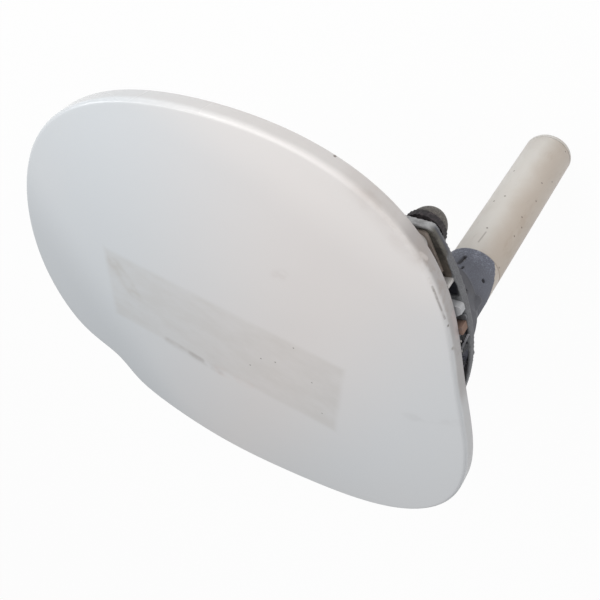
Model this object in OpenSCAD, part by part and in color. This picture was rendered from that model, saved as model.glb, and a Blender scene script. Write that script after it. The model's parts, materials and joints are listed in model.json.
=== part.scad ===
// Flat radome antenna on a mast tube.
// A thin, rounded-shield radome stands on top. A ribbed bracket plate behind its rim carries a
// split socket, and the socket clamps a round mast tube that hangs straight down.
// Origin: centre of the mast tube's lower end. +Z runs up the tube, +X towards the radome's centre.

/* [Radome outline] */
// Mean radius of the radome's rim
rim_mean_r = 256.5; // [240:0.5:272]
// Distance of the mast axis from the rim's mean circle
rim_setback = 41; // [38:0.5:45]
// Radome centre, measured from the mast axis along Y
radome_y = 4.5; // [0:0.5:8]
// How far the rim swells in its long direction
swell = 12; // [7:1:15]
// How far the rim draws towards a three-sided shield
shield = 10.5; // [5:0.5:12]
// How far the rim draws towards a rounded square
squareness = 7.5; // [3:0.5:9]
// How far the rim draws towards a five-sided form
fivefold = 4.2; // [1:0.2:5]
// How far the rim draws towards a six-sided form
sixfold = 1.5; // [0:0.1:2]
// Depth of the hand relief in the rim
relief_depth = 17.5; // [0:0.5:20]
// Half width of the hand relief, as an angle at the radome's centre
relief_half_angle = 8; // [6:0.5:12]

/* [Radome build] */
// Height of the cover's side wall
skirt_h = 17.5; // [14:0.5:22]
// Rise of the cover's face from rim to middle
crown_h = 3; // [1:0.25:6]
// Radius between the cover's face and its side wall
edge_r = 4; // [2:0.5:5]
// Wall of the cover
cover_wall = 3; // [2:0.25:4]
// Thickness of the rear shell
rear_wall = 2.5; // [2:0.25:4]
// Thickness of the rim gasket
gasket_t = 1.5; // [1:0.25:2]
// Width of the stiffener ring under the cover's face
ring_w = 14; // [12:0.5:18]
// Screws round the rim
rim_screw_count = 14; // [14:2:18]
// Gap between the rear pan and the bracket's inner edge
pan_gap = 6.5; // [5.5:0.5:14]
// Depth of the rear pan below the shell's rear face
pan_depth = 20; // [18:0.5:23]

/* [Bracket] */
// Gap between the rear shell and the bracket plate
plate_gap = 10; // [9:0.5:14]
// Thickness of the bracket plate
plate_t = 8.5; // [7:0.5:12]
// Thickness of the plate's floor behind its pockets
plate_floor = 3; // [2:0.5:4]
// Radius of the plate's bowed outer edge
bow_r = 240; // [210:5:270]
// Reach of the plate's outer edge past the mast axis
plate_reach = 37; // [36:0.5:40]
// Place of the bow's highest point along Y
bow_y = -32; // [-40:1:-20]
// End of the plate beside the knob, measured from the mast axis
plate_end_near = 118; // [114:0.5:122]
// Other end of the plate, measured from the mast axis
plate_end_far = 110; // [104:1:118]
// Inner edge of the plate, measured from the mast axis
plate_inner = 63; // [60:0.5:64]
// Radius of the plate's corners
plate_corner_r = 8; // [5:0.5:12]

/* [Mast and socket] */
// Outside diameter of the mast tube
mast_d = 50; // [46:1:52]
// Wall of the mast tube
mast_wall = 3; // [2:0.25:4]
// Length of mast tube below the socket's mouth
mast_below = 201; // [160:1:280]
// Wall of the socket's sleeve
socket_wall = 2.5; // [2:0.25:3.5]
// Length of the socket, from its mouth to the bracket plate
socket_h = 80; // [72:0.5:90]
// Thickness of the socket's foot flange
foot_t = 5; // [4:0.5:6]
// Radius of the socket's foot flange
foot_r = 45; // [43:0.5:47]
// Thickness of the end cap's rim
cap_t = 6; // [4:0.5:8]

/* [Knob and bolts] */
// Diameter of the knob
knob_d = 37; // [32:1:38]
// Height of the knob's knurled ring
knob_ring_h = 10; // [8:0.5:12]
// Knurls round the knob
knurl_count = 30; // [20:1:36]
// Diameter of the knob's stud
stud_d = 8; // [6:1:10]
// Diameter of the bolts that hold the radome
bolt_d = 8; // [6:1:8]

/* [Hidden] */

$fn = 64;
eps = 0.01;
run_gap = 0.05;      // radial clearance of the mast in its socket
seat_gap = 0.3;      // clearance between pieces that meet without a fit
hole_gap = 0.25;     // radial clearance of a bolt in a plain hole
thread_gap = 0.05;   // radial clearance that stands for a thread

// Heights up the mast
mouth_z = mast_below;
plate_rear_z = mouth_z + socket_h;
plate_front_z = plate_rear_z + plate_t;
shell_rear_z = plate_front_z + plate_gap;
shell_front_z = shell_rear_z + rear_wall;
face_z = shell_rear_z + skirt_h;
under_z = face_z - cover_wall;
pan_floor_z = shell_rear_z - pan_depth + rear_wall;

mast_r = mast_d / 2;
bore_r = mast_r + run_gap;
sleeve_r = bore_r + socket_wall;
radome_x = rim_mean_r - rim_setback;
radome_c = [radome_x, radome_y];
pan_r = radome_x - plate_inner - pan_gap;

// Rim outline: a circle with a swell, a shield and four-, five- and six-sided shares, and one relief.
// Each direction is where that share stands out furthest.
swell_dir = -23.5;
shield_dir = 0.6;
square_dir = -56.4;
five_dir = -7;
six_dir = 13;
relief_dir = 23;
rim_steps = 120;

function turn(a) = ((a + 540) % 360) - 180;
function rim_r(a) = rim_mean_r
    + swell * cos(2 * (a - swell_dir))
    + shield * cos(3 * (a - shield_dir))
    + squareness * cos(4 * (a - square_dir))
    + fivefold * cos(5 * (a - five_dir))
    + sixfold * cos(6 * (a - six_dir))
    - relief_depth * exp(-pow(turn(a - relief_dir) / relief_half_angle, 2));
function rim_point(a, inset = 0) = radome_c + (rim_r(a) - inset) * [cos(a), sin(a)];
function rim_points(inset) = [for (i = [0 : rim_steps - 1]) rim_point(360 * i / rim_steps, inset)];
function rim_ring(inset, z) = [for (p = rim_points(inset)) [p.x, p.y, z]];

module rim_slab(inset, z0, z1) {
    translate([0, 0, z0]) linear_extrude(z1 - z0) polygon(rim_points(inset));
}

module at_radome() {
    translate([radome_x, radome_y, 0]) children();
}

// Skin through a stack of equal rings, closed by a point at each end.
module skin(rings, start_tip, end_tip) {
    n = len(rings[0]);
    rows = len(rings);
    first = n * rows;
    points = concat([for (r = rings) for (p = r) p], [start_tip, end_tip]);
    sides = [for (j = [0 : rows - 2]) for (i = [0 : n - 1])
        let (a = j * n + i, b = j * n + (i + 1) % n) each [[a, a + n, b], [b, a + n, b + n]]];
    start_fan = [for (i = [0 : n - 1]) [first, i, (i + 1) % n]];
    end_fan = [for (i = [0 : n - 1]) [first + 1, (rows - 1) * n + (i + 1) % n, (rows - 1) * n + i]];
    polyhedron(concat(points), concat(sides, start_fan, end_fan), convexity = 4);
}

// ---- Radome ----

// The face rises in a shallow curve from the rim to the middle.
function face_height(inset) = let (t = (inset - edge_r) / (rim_mean_r - edge_r)) crown_h * t * (2 - t);

module radome_cover() {
    face_insets = [rim_mean_r * 0.72, rim_mean_r * 0.45, rim_mean_r * 0.22, rim_mean_r * 0.09];
    edge_steps = 5;
    outer = concat(
        [for (s = face_insets) rim_ring(s, face_z + face_height(s))],
        [for (i = [0 : edge_steps]) let (a = 90 - 90 * i / edge_steps)
            rim_ring(edge_r * (1 - cos(a)), face_z - edge_r * (1 - sin(a)))],
        [rim_ring(0, shell_rear_z)]);
    inner = [rim_ring(cover_wall, shell_rear_z), rim_ring(cover_wall, under_z)];
    color("whitesmoke")
        skin(concat(outer, inner), [radome_x, radome_y, face_z + crown_h], [radome_x, radome_y, under_z]);
}

gasket_z = shell_front_z + gasket_t;
ring_inset = cover_wall + 1;
screw_inset = ring_inset + ring_w / 2;
rim_screw_r = 1.5;
rim_head_r = 3.6;
rim_head_h = 2.2;

module at_rim_screws() {
    for (i = [0 : rim_screw_count - 1])
        let (p = rim_point(360 * (i + 0.5) / rim_screw_count, screw_inset))
            translate([p.x, p.y, 0]) children();
}

module rim_band(inset, width, z0, z1) {
    difference() {
        rim_slab(inset, z0, z1);
        rim_slab(inset + width, z0 - 1, z1 + 1);
    }
}

module rim_gasket() {
    color("dimgray") difference() {
        rim_band(ring_inset, ring_w, shell_front_z, gasket_z);
        at_rim_screws() translate([0, 0, shell_front_z - 1]) cylinder(gasket_t + 2, r = rim_screw_r + 0.5);
    }
}

module stiffener_ring() {
    color("gainsboro") difference() {
        rim_band(ring_inset, ring_w, gasket_z, under_z);
        at_rim_screws() translate([0, 0, gasket_z - 1])
            cylinder(screw_depth + 1.5, r = rim_screw_r + thread_gap);
    }
}

screw_depth = 5;

module rim_screws() {
    color("silver") at_rim_screws() {
        translate([0, 0, shell_rear_z - rim_head_h]) cylinder(rim_head_h, r = rim_head_r);
        translate([0, 0, shell_rear_z - eps])
            cylinder(gasket_z + screw_depth - shell_rear_z, r = rim_screw_r);
    }
}

// Places of the radome's bolts; a wall runs out to the rim from each of the outer pair
bolt_places = [[6, -60], [6, 60], [46, -72], [46, 72]];
bolt_r = bolt_d / 2;
boss_r = bolt_r + 5;
wall_t = 3;
wall_edge = 2.5;
stud_r = stud_d / 2;
knob_r = knob_d / 2;
knob_place = [-7.5, -plate_end_near + knob_r];
stud_boss_r = stud_r + 6;
stud_boss_h = 9;

// Thin ribs under the shell that reach down into the plate's pockets at its outer edge
ridge_ys = [-7, 4.5];
ridge_t = 2.5;
ridge_in = 3.2;
ridge_l = 11;
ridge_low_z = plate_rear_z + plate_floor + seat_gap;

function plate_edge_x(y) = bow_r - plate_reach - sqrt(bow_r * bow_r - pow(y - bow_y, 2));

module standoffs() {
    for (p = bolt_places) translate([p.x, p.y, plate_front_z])
        cylinder(plate_gap + eps, r = boss_r);
    for (side = [-1, 1]) {
        y = (bolt_places[1].y + 4.5) * side;
        outer_x = plate_edge_x(y) + wall_edge;
        translate([outer_x, y - wall_t / 2, plate_front_z])
            cube([bolt_places[0].x - outer_x, wall_t, plate_gap + eps]);
    }
    for (y = ridge_ys) translate([plate_edge_x(y) + ridge_in, y - ridge_t / 2, ridge_low_z])
        cube([ridge_l, ridge_t, shell_rear_z + eps - ridge_low_z]);
    translate([knob_place.x, knob_place.y, shell_rear_z - stud_boss_h])
        cylinder(stud_boss_h + eps, r = stud_boss_r);
}

pan_slope = 14;
rib_r = pan_r + 2.5;
rib_h = 0.9;
board_r = pan_r + 4;

module pan_profile() {
    top = shell_front_z;
    bottom = shell_rear_z - pan_depth;
    polygon([[0, bottom], [pan_r - pan_slope - 3, bottom], [pan_r - pan_slope, bottom + 3],
             [pan_r, shell_rear_z], [rib_r + 1.5, shell_rear_z], [rib_r + 1.5, top],
             [rib_r + 1, top + rib_h], [rib_r - 1, top + rib_h], [rib_r - 1, top],
             [pan_r - rear_wall, top],
             [pan_r - pan_slope - rear_wall, pan_floor_z + 1.5],
             [pan_r - pan_slope - rear_wall - 2, pan_floor_z], [0, pan_floor_z]]);
}

socket_place = [0, -60];
socket_hole_r = 8;
vent_place = [40, 85];
vent_r = 4;
post_places = [[-50, -35], [50, -35], [-50, 35], [50, 35]];
post_h = 5.5;
post_r = 4;

module rear_shell() {
    color("white") difference() {
        union() {
            difference() {
                rim_slab(cover_wall + seat_gap, shell_rear_z, shell_front_z);
                at_radome() translate([0, 0, shell_rear_z - 1]) cylinder(rear_wall + 2, r = rib_r, $fn = 96);
            }
            at_radome() rotate_extrude($fn = 96) pan_profile();
            standoffs();
        }
        for (p = bolt_places) translate([p.x, p.y, plate_front_z - 1])
            cylinder(plate_gap + rear_wall + 2, r = bolt_r + hole_gap);
        translate([knob_place.x, knob_place.y, shell_rear_z - stud_boss_h - 1])
            cylinder(stud_boss_h + 1, r = stud_r + thread_gap);
        at_rim_screws() translate([0, 0, shell_rear_z - 1])
            cylinder(rear_wall + 2, r = rim_screw_r + hole_gap);
        at_radome() translate([socket_place.x, socket_place.y, pan_floor_z - rear_wall - 1])
            cylinder(rear_wall + 2, r = socket_hole_r);
        at_radome() translate([vent_place.x, vent_place.y, pan_floor_z - rear_wall - 1])
            cylinder(rear_wall + 2, r = vent_r + seat_gap / 2);
    }
}

backing_t = 5;
module backing_plate() {
    x0 = bolt_places[0].x - bolt_r - 4;
    x1 = bolt_places[2].x + bolt_r + 5;
    y0 = bolt_places[1].y + bolt_r + 5;
    y1 = bolt_places[3].y + bolt_r + 5;
    color("silver") translate([0, 0, shell_front_z]) difference() {
        linear_extrude(backing_t)
            polygon([[x0, -y0], [x1 - 18, -y1], [x1, -y1 + 4], [x1, y1 - 4], [x1 - 18, y1], [x0, y0]]);
        for (p = bolt_places) translate([p.x, p.y, -1]) cylinder(backing_t + 2, r = bolt_r + thread_gap);
    }
}

// ---- Array and electronics inside the radome ----

board_t = 1.6;
patch_t = 0.2;
board_z = shell_front_z + rib_h;
patch_z = board_z + board_t;
foam_z = patch_z + patch_t;
foam_inset = ring_inset + ring_w + 2;
mount_zone_x = plate_inner - 1;

module foam_core() {
    color("ivory") difference() {
        rim_slab(foam_inset, foam_z, under_z);
        translate([-rim_mean_r, -2 * rim_mean_r, foam_z - 1])
            cube([rim_mean_r + mount_zone_x, 4 * rim_mean_r, under_z - foam_z + 2]);
    }
}

module array_board() {
    color("seagreen") at_radome() translate([0, 0, board_z]) cylinder(board_t, r = board_r, $fn = 96);
}

patch_pitch = 30;
patch_w = 19;
module patch_elements() {
    color("goldenrod") at_radome() for (i = [-4 : 4]) for (j = [-4 : 4])
        if (norm([i, j]) * patch_pitch + patch_w * 0.71 < board_r - 3)
            translate([i * patch_pitch - patch_w / 2, j * patch_pitch - patch_w / 2, patch_z])
                cube([patch_w, patch_w, patch_t]);
}

ground_t = 1;
ground_drop = 5;
ground_z = board_z - ground_drop;
ground_r = pan_r - 12;
spacer_r = 3.5;
spacer_ring_r = ground_r - 8;

module array_spacers() {
    color("ivory") at_radome() for (i = [0 : 7]) rotate(45 * i + 22.5)
        translate([spacer_ring_r, 0, ground_z]) cylinder(ground_drop, r = spacer_r);
}

module ground_plane() {
    color("silver") at_radome() translate([0, 0, ground_z - ground_t])
        cylinder(ground_t, r = ground_r, $fn = 96);
}

feed_r = 95;
module feed_board() {
    color("darkgreen") at_radome() translate([0, 0, ground_z]) cylinder(board_t, r = feed_r, $fn = 96);
}

receiver_l = 120;
receiver_w = 86;
receiver_z = pan_floor_z + post_h;
module receiver_board() {
    color("darkgreen") at_radome() translate([-receiver_l / 2, -receiver_w / 2, receiver_z])
        cube([receiver_l, receiver_w, board_t]);
}

module board_posts() {
    color("ivory") at_radome() for (p = post_places) translate([p.x, p.y, pan_floor_z])
        cylinder(post_h, r = post_r);
}

can_l = 64;
can_w = 44;
can_wall = 0.8;
module shield_can() {
    can_h = ground_z - ground_t - receiver_z - board_t - seat_gap;
    color("lightgray") at_radome() translate([0, 0, receiver_z + board_t]) difference() {
        translate([-can_l / 2, -can_w / 2, 0]) cube([can_l, can_w, can_h]);
        translate([-can_l / 2 + can_wall, -can_w / 2 + can_wall, -1])
            cube([can_l - 2 * can_wall, can_w - 2 * can_wall, can_h - can_wall + 1]);
    }
}

// Threaded cable socket through the pan's floor, with a nut inside
socket_flange_t = 2;
socket_nose = 12;
socket_nut_t = 3;
socket_bore_r = 5;
socket_bore_depth = 11;
socket_thread_r = socket_hole_r - seat_gap / 2;
pan_bottom_z = shell_rear_z - pan_depth;
nose_z = pan_bottom_z - socket_flange_t - socket_nose;
module cable_socket() {
    color("silver") at_radome() translate([socket_place.x, socket_place.y, 0]) difference() {
        union() {
            translate([0, 0, pan_bottom_z - socket_flange_t])
                cylinder(socket_flange_t, r = socket_hole_r + 3);
            translate([0, 0, nose_z]) cylinder(socket_nose + eps, r = socket_hole_r - 0.5);
            translate([0, 0, pan_bottom_z - eps])
                cylinder(rear_wall + socket_nut_t + 1.5, r = socket_thread_r);
        }
        translate([0, 0, nose_z - 1]) cylinder(socket_bore_depth + 1, r = socket_bore_r);
    }
}

module cable_socket_nut() {
    color("silver") at_radome() translate([socket_place.x, socket_place.y, pan_floor_z]) difference() {
        cylinder(socket_nut_t, r = socket_hole_r + 4, $fn = 6);
        translate([0, 0, -1]) cylinder(socket_nut_t + 2, r = socket_thread_r + thread_gap);
    }
}

vent_head_h = 2.5;
module vent_plug() {
    color("black") at_radome() translate([vent_place.x, vent_place.y, 0]) {
        translate([0, 0, pan_bottom_z - vent_head_h])
            cylinder(vent_head_h, r1 = vent_r + 1, r2 = vent_r + 2.5);
        translate([0, 0, pan_bottom_z - eps]) cylinder(rear_wall + 1, r = vent_r);
    }
}

// ---- Bracket plate ----

function arc(c, r, a0, a1, steps) = [for (i = [0 : steps]) let (a = a0 + (a1 - a0) * i / steps)
    c + r * [cos(a), sin(a)]];

// The outer half of the near end slants back from a knee
end_slant = 12;
end_knee_x = 2;

// Outline of the plate, drawn in by inset all round: a bowed outer edge and three straighter ones
function plate_points(inset) =
    let (cr = max(plate_corner_r - inset, 1),
         y0 = -plate_end_near + inset,
         y1 = plate_end_far - inset,
         x1 = plate_inner - inset,
         near_x = plate_edge_x(y0 + 1.4 * cr) + inset + cr,
         near_y = y0 + (end_knee_x - near_x) * tan(end_slant) + cr / cos(end_slant),
         far_x = plate_edge_x(y1 - cr) + inset + cr,
         bow_steps = 24)
    concat(
        arc([x1 - cr, y0 + cr], cr, -90, 0, 6),
        arc([x1 - cr, y1 - cr], cr, 0, 90, 6),
        arc([far_x, y1 - cr], cr, 90, 160, 6),
        [for (i = [1 : bow_steps - 1]) let (y = y1 - cr + (near_y - y1 + cr) * i / bow_steps)
            [plate_edge_x(y) + inset, y]],
        arc([near_x, near_y], cr, 192, 270 - end_slant, 6),
        [[end_knee_x, y0]]);

plate_wall = 2.5;
plate_rib = 3;
pad_near_y = -66.5;
rib_pitch = 34;
rib_turn = 50;
rib_l = 2 * (plate_end_near + plate_end_far);
slot_gap = [seat_gap, seat_gap, seat_gap];
open_edge_x = -8;    // the pockets beside the outer edge stay clear of ribs up to here
open_edge_l = 72;
recess_d = 2;

// Everything up to the pad line, by the knob
module near_end() {
    translate([-plate_reach - 1, -plate_end_near - 1])
        square([plate_reach + plate_inner + 2, plate_end_near + pad_near_y + 1]);
}

module plate_ribs() {
    difference() {
        for (i = [-3 : 3]) for (side = [-1, 1])
            translate([0, i * rib_pitch, 0]) rotate(side * rib_turn) square([rib_l, plate_rib], center = true);
        translate([-plate_reach - 1, ridge_ys[0] - ridge_t])
            square([plate_reach + 1 + open_edge_x, open_edge_l]);
    }
    circle(socket_web_r);
    for (p = bolt_places) translate(p) circle(boss_r + 1);
    near_end();
    translate([plate_edge_x(bow_y), pads_y - 3]) square([26, 30]);
}

socket_web_r = foot_r - 14;
pads_y = -43.5;
foot_screw_ring_r = foot_r - 8;
foot_screw_places = [for (a = [35, 125, 235, 325]) foot_screw_ring_r * [cos(a), sin(a)]];
foot_screw_r = 3;

module bracket_plate() {
    color("slategray") difference() {
        union() {
            translate([0, 0, plate_rear_z]) linear_extrude(plate_floor) polygon(plate_points(0));
            translate([0, 0, plate_rear_z + plate_floor - eps]) linear_extrude(plate_t - plate_floor + eps)
                difference() {
                    polygon(plate_points(0));
                    difference() {
                        polygon(plate_points(plate_wall));
                        plate_ribs();
                    }
                }
        }
        translate([0, 0, plate_front_z - recess_d]) linear_extrude(recess_d + 1) intersection() {
            polygon(plate_points(plate_wall));
            near_end();
        }
        for (y = ridge_ys) translate([plate_edge_x(y) + ridge_in, y - ridge_t / 2, ridge_low_z] - slot_gap)
            cube([ridge_l, ridge_t, plate_t] + 2 * slot_gap);
        for (p = bolt_places) translate([p.x, p.y, plate_rear_z - 1])
            cylinder(plate_t + 2, r = bolt_r + hole_gap);
        for (p = foot_screw_places) translate([p.x, p.y, plate_rear_z - 1])
            cylinder(plate_t + 2, r = foot_screw_r + thread_gap);
        translate([knob_place.x, knob_place.y, plate_rear_z - 1])
            cylinder(plate_t + 2, r = stud_r + hole_gap);
        for (s = pad_screw_places) translate([s.x, s.y, plate_front_z - pad_screw_l - 1])
            cylinder(pad_screw_l + 2, r = pad_screw_r + thread_gap);
    }
}

washer_t = 1.6;
head_h = 5.3;
module mount_washers() {
    color("silver") for (p = bolt_places) translate([p.x, p.y, plate_rear_z - washer_t]) difference() {
        cylinder(washer_t, r = bolt_r * 2);
        translate([0, 0, -1]) cylinder(washer_t + 2, r = bolt_r + hole_gap);
    }
}

module mount_bolts() {
    hex_r = bolt_r * 1.86;
    color("silver") for (p = bolt_places) translate([p.x, p.y, 0]) {
        translate([0, 0, plate_rear_z - washer_t - head_h]) intersection() {
            cylinder(head_h, r = hex_r, $fn = 6);
            cylinder(head_h, r1 = hex_r * 0.86, r2 = hex_r * 1.6);
        }
        translate([0, 0, plate_rear_z - washer_t - eps])
            cylinder(washer_t + plate_t + plate_gap + rear_wall + backing_t - 0.5, r = bolt_r);
    }
}

// Rubber pad, its screw and the packing block that stand in the gap at the outer edge
pad_h = 7.5;
pad_screw_r = 2;
pad_screw_l = 5;
pad_head_h = 2;
pad_screw_places = [[plate_edge_x(pads_y + 13) + 3.2, pads_y + 17]];
pad_l = 17;
pad_w = 16;
pad_corner_r = 4;
block_y = -22;
block_l = 8;
block_d = 14;

module rim_pads() {
    corner = arc([pad_corner_r, pad_corner_r], pad_corner_r, 180, 270, 6);
    color("gainsboro") translate([plate_edge_x(pads_y) + 0.3, pads_y, plate_front_z]) linear_extrude(pad_h)
        polygon(concat(corner, [[pad_l, 0], [pad_l, pad_w], [pad_l / 2 + 1, pad_w],
            [pad_l / 2 - 3, pad_w - 3], [0, pad_w / 2]]));
}

module pad_screws() {
    color("silver") for (s = pad_screw_places) {
        translate([s.x, s.y, plate_front_z]) cylinder(pad_head_h, r = pad_screw_r * 1.6);
        translate([s.x, s.y, plate_front_z - pad_screw_l]) cylinder(pad_screw_l + eps, r = pad_screw_r);
    }
}

module packing_block() {
    color("peru") translate([plate_edge_x(block_y) + 1.5, block_y, plate_front_z])
        cube([block_d, block_l, plate_gap]);
}

// Soft strip in the recess by the knob; the stud passes through it
end_pad_t = recess_d + 0.6;
end_pad_in = 6.5;    // from the plate's outer edge to the strip, beside the knob
end_pad_taper = 3.5; // and how much further it is at the strip's other end
end_pad_cut = 3;
end_pad_l = 56;
module end_pad() {
    y0 = knob_place.y - stud_r - end_pad_cut;
    y1 = bolt_places[0].y - boss_r - 1.5;
    color("tan") translate([0, 0, plate_front_z - recess_d]) difference() {
        linear_extrude(end_pad_t) polygon([[plate_edge_x(y0) + end_pad_in + end_pad_cut, y0 - end_pad_cut],
            [plate_edge_x(y0) + end_pad_in, y0], [plate_edge_x(y1) + end_pad_in + end_pad_taper, y1],
            [end_pad_l - plate_reach, y1], [end_pad_l - plate_reach, y0 - end_pad_cut]]);
        translate([knob_place.x, knob_place.y, -1]) cylinder(end_pad_t + 2, r = stud_r + hole_gap);
    }
}

// ---- Mast socket ----

foot_z = plate_rear_z - foot_t;
slit_dir = 158;
slit_near = 6;       // the slit's edges, measured from its middle plane
slit_far = 16;
slit_flare = 17;
slit_flare_h = 40;
slit_end_z = foot_z - 20;
bump_dir = 202;      // the rounded bump on the fairing
bump_r = 5;
bump_out = 1;
bump_low_z = plate_rear_z - 29;
grub_dir = 209.5;
grub_r = 1.8;
grub_sink = 0.7;
grub_z = mouth_z + 27.5;
gusset_t = 6;
gusset_dirs = [-35, 50];
gusset_out = 6;
window_dir = 265.7;
window_z = mouth_z + 18.7;
window_size = [3.6, 10];
window_lean = -12;
nick_dir = 256.3;
nick_z = mouth_z + 28.8;
nick_size = [1.8, 4];
recess_wall = 0.7;   // what is left of the sleeve behind the window and the nick

function slit_edge_at(t) = slit_near + slit_flare * pow(t, 1.6);

// Profile of the clamp slit: square by the foot, with its near edge flaring out to the mouth
module slit_shape() {
    steps = 12;
    low = mouth_z - 2;
    round_r = 6;
    edge = [for (i = [0 : steps]) let (t = i / steps) [slit_edge_at(t), low + slit_flare_h * (1 - t)]];
    polygon(concat([[-slit_far, slit_end_z], [slit_near, slit_end_z]], edge,
        [[edge[steps].x, low - 3], [-slit_far, low - 3]]));
    translate([round_r - slit_far, slit_end_z - 1]) square([slit_far + slit_near - 2 * round_r, round_r + 1]);
    for (x = [round_r - slit_far, slit_near - round_r]) translate([x, slit_end_z]) circle(round_r);
}

module gusset() {
    low = mouth_z + 5;
    top_r = sleeve_r + gusset_out;
    rotate([90, 0, 0]) translate([0, 0, -gusset_t / 2]) linear_extrude(gusset_t)
        polygon([[sleeve_r - 1, low], [top_r - 2, low], [top_r, low + 2], [top_r, foot_z - 20],
                 [foot_r - 3, foot_z - 4], [foot_r - 3, foot_z + 1], [sleeve_r - 1, foot_z + 1]]);
}

// The fairing from the sleeve to the foot is a cone set off towards the knob end, so that it climbs
// the sleeve on that side and dies out on the other.
fairing_dir = 290;
fairing_off = 8;
fairing_slope = 0.364;
fairing_low_z = mouth_z + 19;
fairing_low_r = 17.8;

module fairing() {
    rise = plate_rear_z - 1 - fairing_low_z;
    translate([fairing_off * cos(fairing_dir), fairing_off * sin(fairing_dir), fairing_low_z])
        cylinder(rise, r1 = fairing_low_r, r2 = fairing_low_r + fairing_slope * rise);
    for (a = gusset_dirs) rotate(a) gusset();
    bump_h = plate_rear_z - bump_low_z - 1;
    rotate(bump_dir) translate([sleeve_r + bump_out, 0, bump_low_z]) rotate_extrude()
        polygon(concat([[0, bump_h], [bump_r, bump_h]],
            [for (i = [0 : 6]) bump_r * [cos(15 * i), -sin(15 * i)]]));
}

// Blind recess in the sleeve's outside
module sleeve_recess(direction, z, size, lean) {
    rotate(direction) translate([bore_r + recess_wall, 0, z]) rotate([lean, 0, 0])
        translate([0, -size.x / 2, -size.y / 2]) cube([foot_r, size.x, size.y]);
}

module mast_socket() {
    color("slategray") difference() {
        union() {
            rotate_extrude() polygon([[0, mouth_z], [sleeve_r - 0.8, mouth_z], [sleeve_r, mouth_z + 0.8],
                [sleeve_r, plate_rear_z], [0, plate_rear_z]]);
            intersection() {
                translate([0, 0, foot_z]) cylinder(foot_t, r = foot_r);
                translate([0, 0, foot_z - 1]) linear_extrude(foot_t + 2) polygon(plate_points(4));
            }
            intersection() {
                fairing();
                translate([0, 0, mouth_z]) linear_extrude(socket_h) polygon(plate_points(4));
            }
        }
        translate([0, 0, mouth_z - 1]) cylinder(socket_h + 2, r = bore_r);
        rotate(slit_dir - 90) rotate([90, 0, 180]) linear_extrude(foot_r + 5) slit_shape();
        for (p = foot_screw_places) translate([p.x, p.y, foot_z - foot_well_h]) {
            cylinder(foot_well_h + foot_t + 1, r = foot_screw_r + hole_gap);
            cylinder(foot_well_h, r = foot_screw_r * 1.9);
        }
        rotate(grub_dir) translate([bore_r - 2, 0, grub_z]) rotate([0, 90, 0])
            cylinder(foot_r, r = grub_r + thread_gap);
        sleeve_recess(window_dir, window_z, window_size, window_lean);
        sleeve_recess(nick_dir, nick_z, nick_size, window_lean);
    }
}

foot_well_h = 20;
foot_head_h = 3;
foot_thread_l = plate_t - 1;

module socket_screws() {
    color("silver") for (p = foot_screw_places) translate([p.x, p.y, 0]) {
        translate([0, 0, foot_z - foot_head_h]) cylinder(foot_head_h, r = foot_screw_r * 1.7);
        translate([0, 0, foot_z - eps]) cylinder(foot_t + foot_thread_l, r = foot_screw_r);
    }
}

module grub_screw() {
    color("dimgray") rotate(grub_dir) translate([bore_r + 0.1, 0, grub_z]) rotate([0, 90, 0])
        cylinder(socket_wall - grub_sink, r = grub_r);
}

// ---- Mast ----

mast_top_z = plate_rear_z - 3;
cap_plug_r = mast_r - mast_wall - 0.1;
cap_plug_h = 16;

// Fine groove that marks how far the tube goes into the socket
mark_w = 1.5;
mark_depth = 0.4;
mark_below = 0.5;

module mast_tube() {
    color("antiquewhite") difference() {
        cylinder(mast_top_z, r = mast_r);
        translate([0, 0, -1]) cylinder(mast_top_z + 2, r = mast_r - mast_wall);
        translate([0, 0, mouth_z - mark_below - mark_w]) difference() {
            cylinder(mark_w, r = mast_r + 1);
            translate([0, 0, -1]) cylinder(mark_w + 2, r = mast_r - mark_depth);
        }
    }
}

seam_w = 0.8;        // shadow gap between the tube's end and the cap's rim
seam_depth = 1.2;
cap_wall = 2.5;

module end_cap() {
    color("ivory") rotate_extrude() polygon([[0, -cap_t], [mast_r - 2, -cap_t], [mast_r - 0.6, -cap_t + 0.6],
        [mast_r, -cap_t + 2], [mast_r, -seam_w], [mast_r - seam_depth, -seam_w], [mast_r - seam_depth, 0],
        [cap_plug_r, 0], [cap_plug_r, cap_plug_h], [cap_plug_r - cap_wall, cap_plug_h],
        [cap_plug_r - cap_wall, -cap_t + 3], [0, -cap_t + 3]]);
}

// ---- Knob ----

knob_top_z = plate_rear_z - washer_t;
knob_low_z = knob_top_z - seat_gap - knob_ring_h;
knurl_depth = 0.8;
dome_r = knob_r - 3;
dome_h = dome_r + 2;
cap_seat = 1.4;      // how deep the domed cap sits in the ring

module knob_washer() {
    color("silver") translate([knob_place.x, knob_place.y, knob_top_z]) difference() {
        cylinder(washer_t, r = knob_r - 4);
        translate([0, 0, -1]) cylinder(washer_t + 2, r = stud_r + hole_gap);
    }
}

module lock_knob() {
    steps = knurl_count * 4;
    ring_points = [for (i = [0 : steps - 1]) let (a = 360 * i / steps, sunk = i % 4 < 2 ? 0 : knurl_depth)
        (knob_r - sunk) * [cos(a), sin(a)]];
    color("dimgray") translate([knob_place.x, knob_place.y, knob_low_z]) difference() {
        linear_extrude(knob_ring_h) polygon(ring_points);
        translate([0, 0, -1]) cylinder(knob_ring_h + 2, r = stud_r + thread_gap);
        translate([0, 0, -1]) cylinder(1 + cap_seat + 0.1, r = dome_r + 0.1);
    }
}

module knob_cap() {
    color("gray") translate([knob_place.x, knob_place.y, knob_low_z]) difference() {
        rotate_extrude() polygon(concat([[0, cap_seat], [dome_r, cap_seat], [dome_r, 0]],
            [for (i = [1 : 12]) let (a = 90 * i / 12) [dome_r * cos(a), -dome_h * sin(a)]]));
        translate([0, 0, -2]) cylinder(cap_seat + 3, r = stud_r + 0.5);
    }
}

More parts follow.
